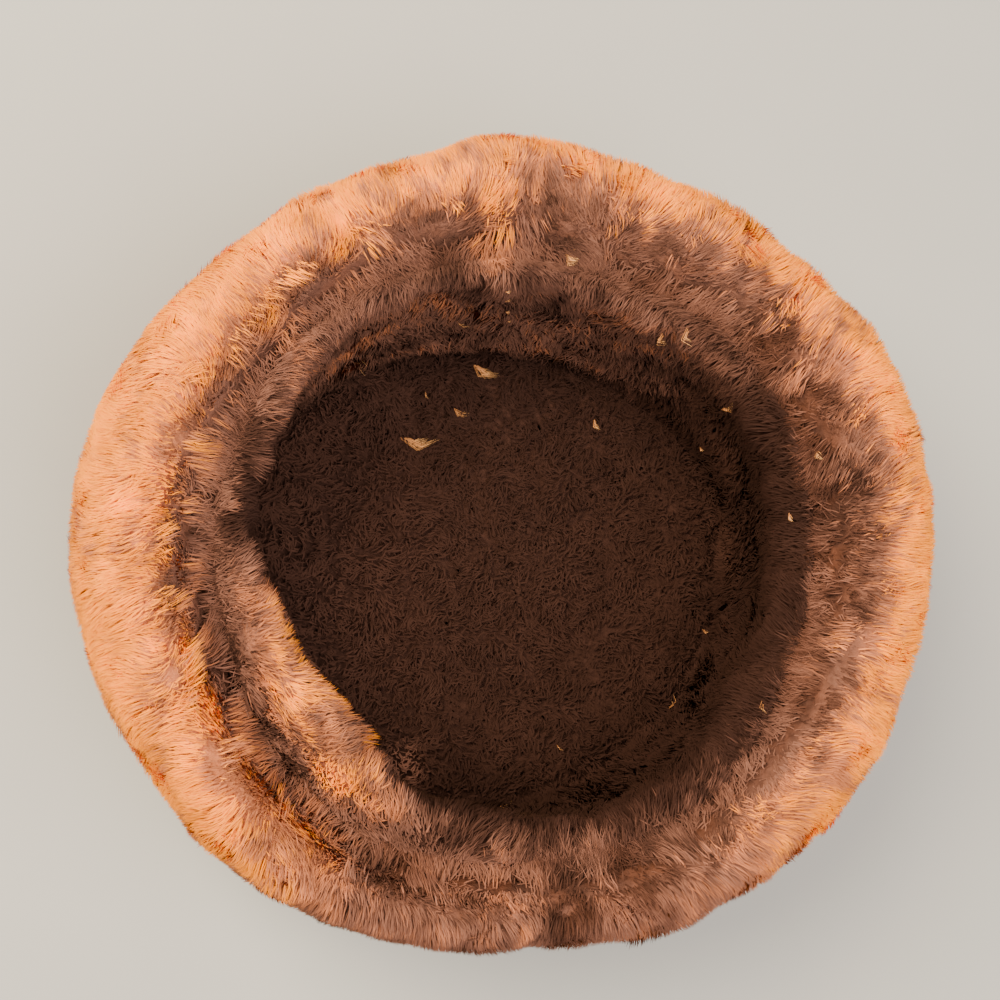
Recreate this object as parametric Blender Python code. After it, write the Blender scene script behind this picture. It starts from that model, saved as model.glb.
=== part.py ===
"""Shearling pillbox hat, lying on its crown with the opening up.

It is sewn from three shearling panels, and each panel is a suede skin with its wool. The crown
disc and the side band have their wool inside the hat. The cuff is sewn to the band's edge, rolls
over it and covers the outside, wool out. The wool is modelled in locks, fused to its backing.

Metres, +Z up. The origin is the centre of the crown's flat outer face. Azimuth runs anticlockwise
from +X, seen from above the opening. A section is cut at one azimuth and drawn in (radius, height).
"""

import math
from collections import namedtuple

import bmesh
import bpy
from mathutils import Vector

MM = 0.001

# Driving dimensions
SUEDE = 2.0 * MM  # thickness of every skin
CUFF_PILE = 14.0 * MM  # depth of the wool on the cuff
BAND_PILE = 12.0 * MM  # depth of the wool on the side band
CROWN_PILE = 11.0 * MM  # depth of the wool on the crown
GAP = 0.5 * MM  # between neighbouring pieces
SKIN_GAP = 0.85 * MM  # between a skin and its wool, whose round sides have different steps
CROWN_RADIUS = 98.0 * MM
CROWN_EDGE_ROUND = 0.8 * MM

# Corners and seams
CORNER_HEIGHT = 20.0 * MM  # where the wool of the wall meets the crown's
SEAM_EDGE = 4.5 * MM  # depth of the wool where two panels are sewn together
SEAM_FOLD = 5.0 * MM  # least room for the band's skin to turn down beside its seam
FOLD_DROP = 3.0 * MM  # how far the band's skin has turned down by its bend
BEND_DROP = 12.0 * MM  # and by its straight stretch

# The side wall's wool
WALL_MIDDLE = 50.0 * MM  # height
WALL_HOLLOW = 3.0 * MM  # how far the wool's face is hollowed there
LIP_SHOULDER = 2.5 * MM  # how far the lip's rounding is below its top
LIP_SIDE = 9.0 * MM  # how far the lip's innermost point is below its top
LIP_FOOT, LIP_FOOT_OUT = 20.0 * MM, 1.0 * MM  # where the lip runs into the wall

# The cuff
CUFF_WIDEST = 50.0 * MM  # height of its widest point
CUFF_HEM = 10.0 * MM  # height of the skin's lower edge
CUFF_WOOL_FOOT = 4.5 * MM  # height of the wool's lowest point
CUFF_WOOL_UNDER_HEM = 3.5 * MM  # how far the wool reaches in below the hem
SHOULDER_IN, SHOULDER_DOWN = 5.5 * MM, 10.0 * MM  # in from the widest radius, down from the crest
UPPER_SIDE_IN, UPPER_SIDE_UP = 1.0 * MM, 18.0 * MM  # in and up from the widest point
LOWER_SIDE_IN, LOWER_SIDE_DOWN = 2.0 * MM, 26.0 * MM  # in and down from the widest point
HEM_ROUND_IN, HEM_ROUND_UP = 7.5 * MM, 3.5 * MM  # in from the widest radius, up from the foot
SKIN_SIDE_DROP, SKIN_SHOULDER_DROP = 11.0 * MM, 2.0 * MM  # the skin's bend, below its top
SKIN_BARREL = 0.5 * MM  # how far the skin swells at the widest point

# Locks of wool
CUFF_LOCKS, CUFF_ROWS, CUFF_LOCK_RISE = 26, 5, 3.0 * MM
BAND_LOCKS, BAND_ROWS, BAND_LOCK_RISE = 24, 3, 2.4 * MM
CROWN_LOCKS, CROWN_ROWS, CROWN_LOCK_RISE = 12, 3, 2.4 * MM
STEPS_ACROSS_LOCK = 4
STEPS_ALONG_LOCK = 3
TIP_TAPER = 0.45  # how far a lock's flanks fall short of its tip
LOCK_UNEVENNESS = 0.35

CROWN_STEPS = 48  # sides of the crown's disc

# Sections round the hat: degrees, then millimetres. outer is the cuff's widest radius and crest
# its top, seam is the crease where cuff and band are sewn, lip is the band's inner roll, and
# floor_r is the radius where the wall's wool meets the crown's.
Section = namedtuple("Section", "azimuth outer crest seam_r seam_z lip_r lip_z floor_r")
SECTIONS = (
    Section(0.0, 129.5, 101, 90.0, 90, 79, 90, 80),
    Section(22.5, 129.0, 101, 90.0, 89, 79, 90, 77),
    Section(45.0, 122.5, 99, 88.5, 87, 77, 89, 70),
    Section(67.5, 119.5, 97, 83.0, 84, 72, 87, 63),
    Section(90.0, 120.0, 97, 83.0, 85, 74, 89, 61),
    Section(112.5, 117.5, 96, 84.5, 85, 76, 88, 65),
    Section(135.0, 118.5, 96, 86.5, 83, 76, 86, 71),
    Section(157.5, 124.5, 98, 87.5, 83, 75, 87, 77),
    Section(180.0, 127.5, 98, 90.5, 82, 76, 87, 81),
    Section(202.5, 126.5, 97, 91.5, 76, 71, 90, 83),
    Section(225.0, 126.5, 98, 96.5, 72, 69, 91, 83),
    Section(247.5, 124.0, 100, 99.5, 79, 78, 90, 83),
    Section(270.0, 120.0, 100, 97.5, 87, 83, 90, 83),
    Section(292.5, 124.0, 101, 97.5, 90, 85, 91, 83),
    Section(315.0, 127.5, 101, 94.5, 90, 82, 91, 82),
    Section(337.5, 128.0, 101, 91.5, 90, 80, 90, 81),
)

# Dents and swellings of the wool: degrees, degrees to either side, then millimetres. outer and
# crest move the cuff outwards and up, and lip moves the band's face away from the axis.
Dent = namedtuple("Dent", "azimuth half_width outer crest lip")
DENTS = (
    Dent(30.0, 9.0, 1.0, 0.5, 0.0),
    Dent(44.0, 8.0, -1.5, -1.5, 1.5),
    Dent(57.0, 8.0, 1.5, 1.0, -2.0),
    Dent(66.0, 8.0, 0.0, -1.0, 3.0),
    Dent(93.0, 9.0, 1.0, 1.0, -4.0),
    Dent(106.0, 8.0, -1.5, -1.0, 2.0),
    Dent(124.0, 8.0, 1.0, 0.5, -1.0),
    Dent(200.0, 8.0, 0.0, 0.0, -1.5),
    Dent(214.0, 9.0, -2.0, -1.0, 0.0),
    Dent(246.0, 9.0, 0.0, -1.5, 2.0),
    Dent(262.0, 8.0, 1.5, 0.5, -1.5),
    Dent(284.0, 8.0, -2.0, -2.5, 2.0),
    Dent(330.0, 9.0, 1.0, 0.5, -1.5),
)


def cubic(t, before, start, end, after):
    """A value on the smooth curve from start to end, for t from 0 to 1."""
    bend = 3 * (start - end) + after - before
    middle = 2 * before - 5 * start + 4 * end - after
    return start + 0.5 * t * (end - before + t * (middle + t * bend))


def bump(distance, half_width):
    """1 at distance 0, falling smoothly to 0 at half_width and staying there."""
    share = min(1.0, abs(distance) / half_width)
    return (1 - share * share) ** 2


def section_at(azimuth):
    """The section at any azimuth in degrees, in metres, between the table's rows."""
    count = len(SECTIONS)
    row, t = divmod(azimuth * count / 360.0, 1.0)
    near = [SECTIONS[(int(row) + k) % count][1:] for k in (-1, 0, 1, 2)]
    values = [MM * cubic(t, *column) for column in zip(*near)]
    return Section(azimuth, *values)


def with_dents(s):
    """The section's faces of wool with the dents and swellings, for which its skins don't bend."""
    outer, crest, lip = s.outer, s.crest, s.lip_r
    for dent in DENTS:
        away = (s.azimuth - dent.azimuth + 180.0) % 360.0 - 180.0
        amount = MM * bump(away, dent.half_width)
        outer += dent.outer * amount
        crest += dent.crest * amount
        lip += dent.lip * amount
    return s._replace(outer=outer, crest=crest, lip_r=lip)


def smooth_path(points, count):
    """count points at even spacing along the smooth curve through points."""
    padded = [points[0], *points, points[-1]]
    fine_steps = 12
    fine = [
        Vector([cubic(step / fine_steps, *axis) for axis in zip(*padded[k : k + 4])])
        for k in range(len(points) - 1)
        for step in range(fine_steps)
    ]
    fine.append(Vector(points[-1]))
    reach = [0.0]
    for a, b in zip(fine, fine[1:]):
        reach.append(reach[-1] + (b - a).length)
    path, k = [], 0
    for step in range(count):
        target = reach[-1] * step / (count - 1)
        while k < len(fine) - 2 and reach[k + 1] < target:
            k += 1
        path.append(fine[k].lerp(fine[k + 1], (target - reach[k]) / (reach[k + 1] - reach[k])))
    return path


def left_of(step):
    """The unit direction to the left of a step."""
    return Vector((-step.y, step.x)).normalized()


def sideways(path, k):
    """A move to the left of a path at its point k, which shifts both its stretches there by 1."""
    before = left_of(path[k] - path[k - 1]) if k else None
    after = left_of(path[k + 1] - path[k]) if k < len(path) - 1 else None
    if before is None or after is None:
        return before or after
    return (before + after) / (1.0 + before.dot(after))


def lock_height(across, along):
    """Height, 0 to 1, of a lock at a place across it and along it, each 0 to 1 and root to tip."""
    flank = abs(2.0 * across - 1.0)
    tip = 1.0 - TIP_TAPER * flank
    ridge = 1.0 - 0.8 * flank * flank
    if along > tip:
        return ridge * (1.0 - along) / (1.0 - tip + 0.2)
    return ridge * (along / tip) ** 0.7


def lock_relief(turn, row_place, locks, rows, rise):
    """How far the locks stand out where turn (0 to 1 round the hat) and row_place (0 to 1) meet."""
    row = min(rows - 1, int(row_place * rows + 1e-6))
    along = row_place * rows - row
    place = turn * locks + 0.5 * (row % 2)
    lock = math.floor(place)
    wave = 0.5 + 0.5 * math.sin(12.9898 * (lock % locks) + 78.233 * row)
    return rise * (1.0 - LOCK_UNEVENNESS * wave) * lock_height(place - lock, along)


def raise_locks(path, turn, locks, rows, rise):
    """A section's wool face with its locks, which start and end flush with the path."""
    raised = []
    for k, point in enumerate(path):
        place = k / (len(path) - 1)
        ends = min(1.0, 4.0 * place, 6.0 * (1.0 - place))
        relief = ends * lock_relief(turn, place, locks, rows, rise)
        raised.append(point + sideways(path, k).normalized() * relief)
    return raised


def cuff_face(s):
    """The wool's face on the cuff, from the crease over the roll and down to its foot."""
    roll = s.outer - s.seam_r
    return [
        (s.seam_r + GAP / 2, s.seam_z),
        (s.seam_r + 0.20 * roll, s.seam_z + 0.78 * (s.crest - s.seam_z)),
        (s.seam_r + 0.48 * roll, s.crest),
        (s.outer - SHOULDER_IN, s.crest - SHOULDER_DOWN),
        (s.outer - UPPER_SIDE_IN, CUFF_WIDEST + UPPER_SIDE_UP),
        (s.outer, CUFF_WIDEST),
        (s.outer - LOWER_SIDE_IN, CUFF_WIDEST - LOWER_SIDE_DOWN),
        (s.outer - HEM_ROUND_IN, CUFF_WOOL_FOOT + HEM_ROUND_UP),
        (s.outer - CUFF_PILE - CUFF_WOOL_UNDER_HEM, CUFF_WOOL_FOOT),
    ]


def cuff_root(s):
    """Where the cuff's wool grows from its skin, from the hem up to the seam."""
    inner = s.outer - CUFF_PILE
    roll = inner - s.seam_r
    top = s.crest - CUFF_PILE
    seam = s.seam_z - SEAM_EDGE
    return [
        Vector((inner, CUFF_HEM)),
        Vector((inner + SKIN_BARREL, CUFF_WIDEST)),
        Vector((inner - 0.1 * roll, top - SKIN_SIDE_DROP)),
        Vector((inner - 0.35 * roll, top - SKIN_SHOULDER_DROP)),
        Vector((s.seam_r + 0.3 * roll, seam + 0.5 * (top - seam))),
        Vector((s.seam_r + GAP / 2, seam)),
    ]


def below_hem(s):
    """Where the cuff's wool ends inside, just under the hem of its skin."""
    return [Vector((s.outer - CUFF_PILE - CUFF_WOOL_UNDER_HEM, CUFF_HEM - GAP))]


def band_face(s):
    """The wool's face on the side band, from its corner with the crown up to the crease."""
    roll = s.seam_r - s.lip_r
    return [
        (s.floor_r + GAP, CORNER_HEIGHT),
        ((s.floor_r + s.lip_r) / 2 + WALL_HOLLOW, WALL_MIDDLE),
        (s.lip_r + LIP_FOOT_OUT, s.lip_z - LIP_FOOT),
        (s.lip_r, s.lip_z - LIP_SIDE),
        (s.lip_r + 0.14 * roll, s.lip_z - LIP_SHOULDER),
        (s.lip_r + 0.48 * roll, s.lip_z),
        (s.seam_r - GAP / 2, s.seam_z),
    ]


def band_root(s):
    """Where the band's wool grows from its skin, from the seam down to the crown's edge."""
    back = s.lip_r + min(BAND_PILE, s.seam_r - s.lip_r - SEAM_FOLD)
    fold = s.seam_r - back
    seam = s.seam_z - SEAM_EDGE
    top = max(seam, s.lip_z - BAND_PILE)
    foot = CROWN_RADIUS - SUEDE - SKIN_GAP
    return [
        Vector((s.seam_r - GAP / 2, seam)),
        Vector((back + 0.55 * fold, top)),
        Vector((back + 0.12 * fold, top - FOLD_DROP)),
        Vector((back, top - BEND_DROP)),
        Vector((back + 0.6 * (foot - back), 0.45 * top)),
        Vector((foot, SUEDE + GAP)),
    ]


def nothing_below(s):
    """The band's wool has no edge below its skin."""
    return []


def skin_line(root):
    """The middle of a skin, which runs to the left of the line where its wool grows."""
    inset = SKIN_GAP + SUEDE / 2
    return [point + sideways(root, k) * inset for k, point in enumerate(root)]


def round_the_hat(radius, height, turn):
    """The point at a radius and height, a share turn of the way round."""
    angle = 2.0 * math.pi * turn
    return (radius * math.cos(angle), radius * math.sin(angle), height)


def loft(bm, columns, closed_section):
    """Faces over columns of (radius, height) points that stand at even steps round the hat."""
    count = len(columns)
    rings = [
        [bm.verts.new(round_the_hat(*point, k / count)) for point in column]
        for k, column in enumerate(columns)
    ]
    for k, ring in enumerate(rings):
        following = rings[(k + 1) % count]
        for j in range(len(ring) if closed_section else len(ring) - 1):
            upper = (j + 1) % len(ring)
            bm.faces.new((ring[j], following[j], following[upper], ring[upper]))
    return rings


def surface(name, colour, roughness):
    """A Principled material of one colour, neither metal nor glossy."""
    material = bpy.data.materials.new(name)
    material.use_nodes = True
    shader = material.node_tree.nodes["Principled BSDF"]
    shader.inputs["Base Color"].default_value = (*colour, 1.0)
    shader.inputs["Roughness"].default_value = roughness
    shader.inputs["Metallic"].default_value = 0.0
    material.diffuse_color = (*colour, 1.0)
    return material


def add_piece(name, bm, material, hat):
    """The bmesh as a named, smooth object under the hat's empty."""
    bmesh.ops.recalc_face_normals(bm, faces=bm.faces)
    mesh = bpy.data.meshes.new(name)
    bm.to_mesh(mesh)
    bm.free()
    mesh.shade_smooth()
    mesh.materials.append(material)
    piece = bpy.data.objects.new(name, mesh)
    piece.parent = hat
    bpy.context.scene.collection.objects.link(piece)
    return piece


def add_wool_ring(name, face, root, below_root, locks, rows, rise, material, hat):
    """A ring of wool whose face carries rows of locks and whose root lies on its skin."""
    steps = locks * STEPS_ACROSS_LOCK
    columns = []
    for k in range(steps):
        s = section_at(360.0 * k / steps)
        shown = smooth_path(face(with_dents(s)), rows * STEPS_ALONG_LOCK + 1)
        columns.append(raise_locks(shown, k / steps, locks, rows, rise) + below_root(s) + root(s))
    bm = bmesh.new()
    loft(bm, columns, closed_section=True)
    return add_piece(name, bm, material, hat)


def add_skin_ring(name, root, clear_of_wool, locks, material, hat):
    """A ring of suede behind a ring of wool, with its lower edge moved up clear of the wool."""
    steps = locks * STEPS_ACROSS_LOCK // 2
    columns = []
    for k in range(steps):
        line = skin_line(root(section_at(360.0 * k / steps)))
        line[0].y += clear_of_wool
        columns.append(line)
    bm = bmesh.new()
    loft(bm, columns, closed_section=False)
    piece = add_piece(name, bm, material, hat)
    thickness = piece.modifiers.new("skin thickness", "SOLIDIFY")
    thickness.thickness = SUEDE
    thickness.offset = 0.0
    return piece


def add_crown_suede(material, hat):
    """The crown's skin: a flat disc that the hat lies on."""
    bm = bmesh.new()
    bmesh.ops.create_cone(
        bm,
        cap_ends=True,
        segments=CROWN_STEPS,
        radius1=CROWN_RADIUS,
        radius2=CROWN_RADIUS,
        depth=SUEDE,
    )
    bmesh.ops.translate(bm, verts=bm.verts, vec=(0.0, 0.0, SUEDE / 2))
    piece = add_piece("crown_suede", bm, material, hat)
    rounded = piece.modifiers.new("rounded edge", "BEVEL")
    rounded.width = CROWN_EDGE_ROUND
    rounded.segments = 1
    return piece


def crown_wool_height(share):
    """The crown wool's face at a share of its radius, flat in the middle and rising to the wall."""
    flat = SUEDE + GAP + CROWN_PILE
    rise = max(0.0, (share - 0.6) / 0.4)
    return flat + (CORNER_HEIGHT - flat) * rise * rise * (3 - 2 * rise)


def add_crown_wool(material, hat):
    """The crown's wool: a disc whose locks point to its middle, mitred to the band's wool."""
    steps = CROWN_LOCKS * STEPS_ACROSS_LOCK
    rings = CROWN_ROWS * STEPS_ALONG_LOCK
    foot = CROWN_RADIUS - SUEDE - SKIN_GAP - 2 * GAP
    columns = []
    for k in range(steps):
        edge = section_at(360.0 * k / steps).floor_r
        column = [(foot, SUEDE + GAP)]
        for j in range(rings):
            place = j / rings
            relief = lock_relief(k / steps, place, CROWN_LOCKS, CROWN_ROWS, CROWN_LOCK_RISE)
            height = crown_wool_height(1.0 - place) + min(1.0, 4.0 * place) * relief
            column.append((edge * (1.0 - place), height))
        columns.append(column)
    bm = bmesh.new()
    lofted = loft(bm, columns, closed_section=False)
    middle = bm.verts.new((0.0, 0.0, crown_wool_height(0.0) + CROWN_LOCK_RISE / 2))
    for k, column in enumerate(lofted):
        bm.faces.new((column[-1], lofted[(k + 1) % steps][-1], middle))
    bm.faces.new([column[0] for column in lofted])
    return add_piece("crown_wool", bm, material, hat)


def main():
    for obj in list(bpy.data.objects):
        bpy.data.objects.remove(obj)
    hat = bpy.data.objects.new("hat", None)
    bpy.context.scene.collection.objects.link(hat)
    hide = surface("suede", (0.20, 0.10, 0.055), 0.9)
    outer_wool = surface("golden brown wool", (0.50, 0.22, 0.09), 0.75)
    inner_wool = surface("dark brown wool", (0.085, 0.032, 0.02), 0.75)
    add_crown_suede(hide, hat)
    add_crown_wool(inner_wool, hat)
    add_skin_ring("band_suede", band_root, 0.0, BAND_LOCKS, hide, hat)
    add_wool_ring(
        "band_wool",
        band_face,
        band_root,
        nothing_below,
        BAND_LOCKS,
        BAND_ROWS,
        BAND_LOCK_RISE,
        inner_wool,
        hat,
    )
    add_skin_ring("cuff_suede", cuff_root, GAP, CUFF_LOCKS, hide, hat)
    add_wool_ring(
        "cuff_wool",
        cuff_face,
        cuff_root,
        below_hem,
        CUFF_LOCKS,
        CUFF_ROWS,
        CUFF_LOCK_RISE,
        outer_wool,
        hat,
    )


main()
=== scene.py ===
"""Dressed model of a shearling pillbox hat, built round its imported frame.

The hat lies on its crown with the opening up. Its wool is made of fine tapered strands that grow
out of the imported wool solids, in locks, over a shell of underwool. The suede skins are the
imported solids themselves, with a suede finish. All sizes are in metres, in the frame's own axes.
"""

import logging
import math
from dataclasses import dataclass, field, replace
from enum import Enum
from typing import ClassVar

import bmesh
import bpy
import numpy as np
from mathutils import Matrix, Vector
from mathutils.bvhtree import BVHTree
from mathutils.kdtree import KDTree


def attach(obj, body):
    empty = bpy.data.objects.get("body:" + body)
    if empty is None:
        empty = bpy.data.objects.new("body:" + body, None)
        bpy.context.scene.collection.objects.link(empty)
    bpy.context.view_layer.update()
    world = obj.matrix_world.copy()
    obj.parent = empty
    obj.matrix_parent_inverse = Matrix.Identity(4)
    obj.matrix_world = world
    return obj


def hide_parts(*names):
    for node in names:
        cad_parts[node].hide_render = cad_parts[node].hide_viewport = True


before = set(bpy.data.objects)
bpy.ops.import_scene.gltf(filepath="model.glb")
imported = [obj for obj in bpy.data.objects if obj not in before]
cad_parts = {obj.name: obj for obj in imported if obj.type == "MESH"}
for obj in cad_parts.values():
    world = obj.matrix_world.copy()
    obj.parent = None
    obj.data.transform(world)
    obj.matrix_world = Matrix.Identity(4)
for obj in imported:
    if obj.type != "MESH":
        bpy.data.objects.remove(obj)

LOG = logging.getLogger("hat")
MM = 0.001
TINY = 1e-12  # keeps a zero vector from being divided by 0
BODY = "root"
# its shade and bleaching also carry painted light and shade
STRAND_DATA = "strand"  # the colour attribute: place along the strand, shade, bleaching
UP = np.array((0.0, 0.0, 1.0))
WOOL_NODES = ("cuff_wool", "band_wool", "crown_wool")
UNDERWOOL_ALONG = 0.4  # the underwool has the tint of the strands this far along them
MIDDLE_SHADE = 0.5
GREY = (0.5, 0.5, 0.5, 1.0)
Colour = tuple[float, float, float]
Span = tuple[float, float]


class Slot(Enum):
    """The material slots of the record."""

    SUEDE = "suede"
    OUTER_WOOL = "outer_wool"
    INNER_WOOL = "inner_wool"


def unit(vectors: np.ndarray) -> np.ndarray:
    """The vectors scaled to length 1.

    Args:
        vectors: one vector a row.

    Returns:
        The unit vectors, one a row.
    """
    lengths = np.linalg.norm(vectors, axis=-1, keepdims=True)
    return vectors / np.maximum(lengths, TINY)


def smoothstep(low: float, high: float, values: np.ndarray) -> np.ndarray:
    """A smooth step from 0 at low to 1 at high.

    Args:
        low: where the step starts.
        high: where it ends.
        values: the places to read it at.

    Returns:
        The step's height at each value.
    """
    share = np.clip((values - low) / (high - low), 0.0, 1.0)
    return share * share * (3.0 - 2.0 * share)


def rise(span: Span, values: np.ndarray) -> np.ndarray:
    """A smooth step from 0 to 1 over a span that is given in millimetres."""
    return smoothstep(span[0] * MM, span[1] * MM, values)


@dataclass(frozen=True)
class PhotoCamera:
    """The camera, seen from a point high over the hat's left front."""

    azimuth: float = -62.0
    elevation: float = 78.5
    distance: float = 0.4506
    focal_pixels: float = 1449.0
    frame_pixels: float = 1000.0
    target: tuple[float, float, float] = (0.0, 0.0, 0.05)
    target_pixel: tuple[float, float] = (501.1, 537.9)
    sensor_mm: float = 36.0
    clip_start: float = 0.01

    def axes(self) -> tuple[Vector, Vector, Vector]:
        """The picture's right and up, and the way back to the camera, as unit vectors."""
        turn, rise = math.radians(self.azimuth), math.radians(self.elevation)
        back = Vector(
            (
                math.sin(turn) * math.cos(rise),
                -math.cos(turn) * math.cos(rise),
                math.sin(rise),
            )
        )
        right = Vector((0.0, 1.0, 0.0)).cross(back).normalized()
        return right, back.cross(right), back

    def eye(self) -> Vector:
        """Where the camera stands."""
        right, up, back = self.axes()
        middle = self.frame_pixels / 2.0
        to_metres = self.distance / self.focal_pixels
        across = (self.target_pixel[0] - middle) * to_metres
        down = (self.target_pixel[1] - middle) * to_metres
        return Vector(self.target) - right * across + up * down + back * self.distance

    def ray(self, pixel: tuple[float, float]) -> Vector:
        """The direction from the camera through a pixel.

        Args:
            pixel: across and down from the picture's upper left corner.

        Returns:
            A unit vector.
        """
        right, up, back = self.axes()
        middle = self.frame_pixels / 2.0
        across = (pixel[0] - middle) / self.focal_pixels
        rise = (middle - pixel[1]) / self.focal_pixels
        return (right * across + up * rise - back).normalized()

    def place(self) -> None:
        """Makes the camera and gives it to the scene."""
        right, up, back = self.axes()
        data = bpy.data.cameras.new("photo_camera")
        data.sensor_width = self.sensor_mm
        data.lens = self.sensor_mm * self.focal_pixels / self.frame_pixels
        data.clip_start = self.clip_start
        camera = bpy.data.objects.new("photo_camera", data)
        rows = [(right[k], up[k], back[k], self.eye()[k]) for k in range(3)]
        camera.matrix_world = Matrix((*rows, (0.0, 0.0, 0.0, 1.0)))
        bpy.context.scene.collection.objects.link(camera)
        bpy.context.scene.camera = camera
        LOG.info("camera placed")


@dataclass(frozen=True)
class SoftLight:
    """One large soft studio lamp that looks at the hat."""

    name: str
    place: tuple[float, float, float]
    size: float
    watts: float
    colour: Colour

    def hang(self) -> None:
        """Makes the lamp."""
        data = bpy.data.lights.new(self.name, "AREA")
        data.shape = "DISK"
        data.size = self.size
        data.energy = self.watts
        data.color = self.colour
        lamp = bpy.data.objects.new(self.name, data)
        lamp.location = self.place
        lamp.rotation_euler = Vector(self.place).to_track_quat("Z", "Y").to_euler()
        bpy.context.scene.collection.objects.link(lamp)


class Nodes:
    """A node tree that is written a node at a time."""

    def __init__(self, tree: bpy.types.NodeTree) -> None:
        """Starts on an existing tree."""
        self.tree = tree

    def add(self, kind: str, settings: dict | None = None, **inputs) -> bpy.types.Node:
        """Adds a node.

        Args:
            kind: the node's type, without its ShaderNode prefix.
            settings: its properties, by name.
            inputs: what each input holds, by name with _ for a space: a socket or a value.

        Returns:
            The node.
        """
        node = self.tree.nodes.new("ShaderNode" + kind)
        for key, value in (settings or {}).items():
            setattr(node, key, value)
        for key, value in inputs.items():
            self.feed(node.inputs[key.replace("_", " ")], value)
        return node

    def feed(self, socket: bpy.types.NodeSocket, value: object) -> None:
        """Links a socket to another, or sets it to a value."""
        if isinstance(value, bpy.types.NodeSocket):
            self.tree.links.new(value, socket)
        else:
            socket.default_value = value

    def maths(self, operation: str, *values: object) -> bpy.types.NodeSocket:
        """A Math node's result.

        Args:
            operation: the node's operation.
            values: its inputs in order, each a socket or a number.

        Returns:
            The output socket.
        """
        node = self.add("Math", {"operation": operation})
        for socket, value in zip(node.inputs, values):
            self.feed(socket, value)
        return node.outputs[0]

    def mix(
        self, share: object, first: object, second: object, blend: str = "MIX"
    ) -> bpy.types.NodeSocket:
        """A colour between two colours.

        Args:
            share: how much of the second, as a socket or a number.
            first: the first colour, as a socket or four numbers.
            second: the second colour.
            blend: how they are blended.

        Returns:
            The output socket.
        """
        node = self.add("Mix", {"data_type": "RGBA", "blend_type": blend})
        for socket, value in zip((node.inputs[0], node.inputs[6], node.inputs[7]), (share, first, second)):
            self.feed(socket, value)
        return node.outputs[2]

    def ramp(self, value: bpy.types.NodeSocket, low: float, high: float) -> bpy.types.NodeSocket:
        """A smooth step from 0 where value is low to 1 where it is high."""
        node = self.add("MapRange", {"interpolation_type": "SMOOTHSTEP", "clamp": True})
        for socket, number in zip(node.inputs, (value, low, high)):
            self.feed(socket, number)
        return node.outputs[0]


def new_group(
    name: str, inputs: dict[str, tuple[str, object]], outputs: dict[str, str]
) -> tuple[Nodes, bpy.types.Node, bpy.types.Node]:
    """Starts a shader node group.

    Args:
        name: the group's name.
        inputs: each input's kind of socket and its first value, by name.
        outputs: each output's kind of socket, by name.

    Returns:
        The group's nodes, its input node and its output node.
    """
    tree = bpy.data.node_groups.new(name, "ShaderNodeTree")
    for key, (kind, value) in inputs.items():
        socket = tree.interface.new_socket(key, in_out="INPUT", socket_type="NodeSocket" + kind)
        socket.default_value = value
    for key, kind in outputs.items():
        tree.interface.new_socket(key, in_out="OUTPUT", socket_type="NodeSocket" + kind)
    return Nodes(tree), tree.nodes.new("NodeGroupInput"), tree.nodes.new("NodeGroupOutput")


def rgba(colour: Colour) -> tuple[float, float, float, float]:
    """The colour with full opacity."""
    return (*colour, 1.0)


def lightened(
    nodes: Nodes, colour: object, level: bpy.types.NodeSocket, spread: object
) -> bpy.types.NodeSocket:
    """A colour made lighter where level is above a half, and darker where it is below.

    Args:
        nodes: the tree's nodes.
        colour: the colour.
        level: a value from 0 to 1.
        spread: how far it acts.

    Returns:
        The new colour.
    """
    swing = nodes.maths("MULTIPLY", nodes.maths("SUBTRACT", level, 0.5), spread)
    light = nodes.maths("ADD", nodes.maths("MULTIPLY", swing, 2.0), 1.0)
    lit = nodes.add("CombineColor", Red=light, Green=light, Blue=light).outputs[0]
    return nodes.mix(1.0, colour, lit, "MULTIPLY")


@dataclass(frozen=True)
class MottleEffect:
    """Varies a colour in soft patches, towards a second one and up and down."""

    edges: Span = (0.35, 0.68)  # of the noise, where a patch starts and where it is whole
    detail: float = 3.0
    finer: float = 2.7  # how much finer the changes of lightness are than the patches
    finer_detail: float = 2.0

    def group(self) -> bpy.types.NodeTree:
        """The effect's node group."""
        nodes, start, end = new_group(
            "mottle",
            {
                "Colour": ("Color", GREY),
                "Patch Colour": ("Color", GREY),
                "Patch Scale": ("Float", 60.0),
                "Patch Share": ("Float", 0.5),
                "Lightness Spread": ("Float", 0.3),
            },
            {"Colour": "Color", "Mask": "Float"},
        )
        scale = start.outputs["Patch Scale"]
        place = nodes.add("TexCoord").outputs["Object"]
        patches = nodes.add("TexNoise", Vector=place, Scale=scale, Detail=self.detail)
        mask = nodes.ramp(patches.outputs["Fac"], *self.edges)
        share = nodes.maths("MULTIPLY", mask, start.outputs["Patch Share"])
        tinted = nodes.mix(share, start.outputs["Colour"], start.outputs["Patch Colour"])
        finer = nodes.maths("MULTIPLY", scale, self.finer)
        level = nodes.add("TexNoise", Vector=place, Scale=finer, Detail=self.finer_detail).outputs["Fac"]
        lit = lightened(nodes, tinted, level, start.outputs["Lightness Spread"])
        nodes.feed(end.inputs["Colour"], lit)
        nodes.feed(end.inputs["Mask"], mask)
        return nodes.tree


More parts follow.
